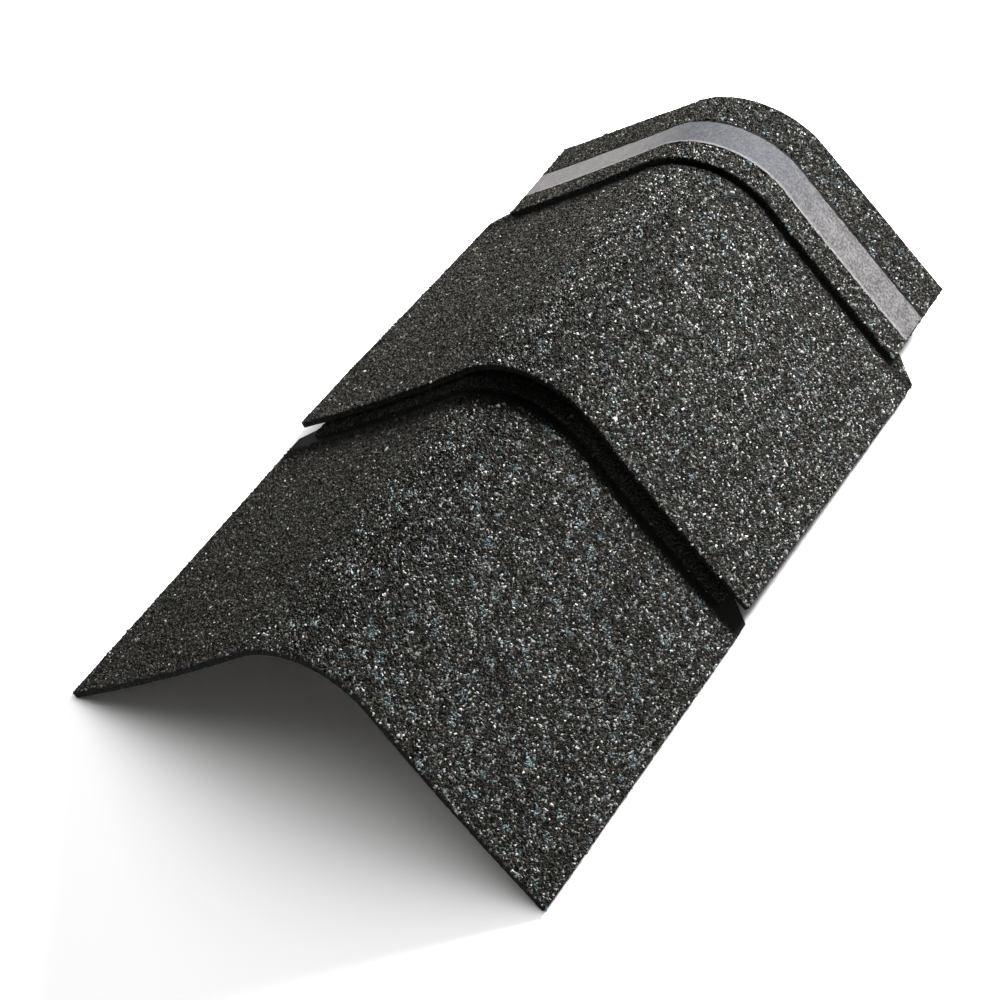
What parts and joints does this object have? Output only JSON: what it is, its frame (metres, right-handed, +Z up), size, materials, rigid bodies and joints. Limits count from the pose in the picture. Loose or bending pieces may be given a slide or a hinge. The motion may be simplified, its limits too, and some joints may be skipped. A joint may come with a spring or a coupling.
{
  "type": "hip and ridge asphalt shingle pair",
  "caption": "Lapped pair of arched asphalt ridge shingles, each a granule-faced sheet with a second ply and a bare fabric nailing strip on its headlap.",
  "frame": {"origin": "centre of the footprint, on the floor", "axes": "+Y along the ridge, from the front butt to the far edge; +Z up; X across the ridge"},
  "size_m": [0.246, 0.461, 0.1046],
  "materials": {
    "granule_face": "rough mineral granules, dark grey-brown with light grey and slate blue ones",
    "nailing_fabric": "matt woven strip, unprinted"
  },
  "bodies": {
    "root": {"front_base_sheet": "granule_face", "front_headlap_layer": "granule_face", "front_nailing_strip": "nailing_fabric", "rear_base_sheet": "granule_face", "rear_headlap_layer": "granule_face", "rear_nailing_strip": "nailing_fabric"}
  },
  "joints": []
}
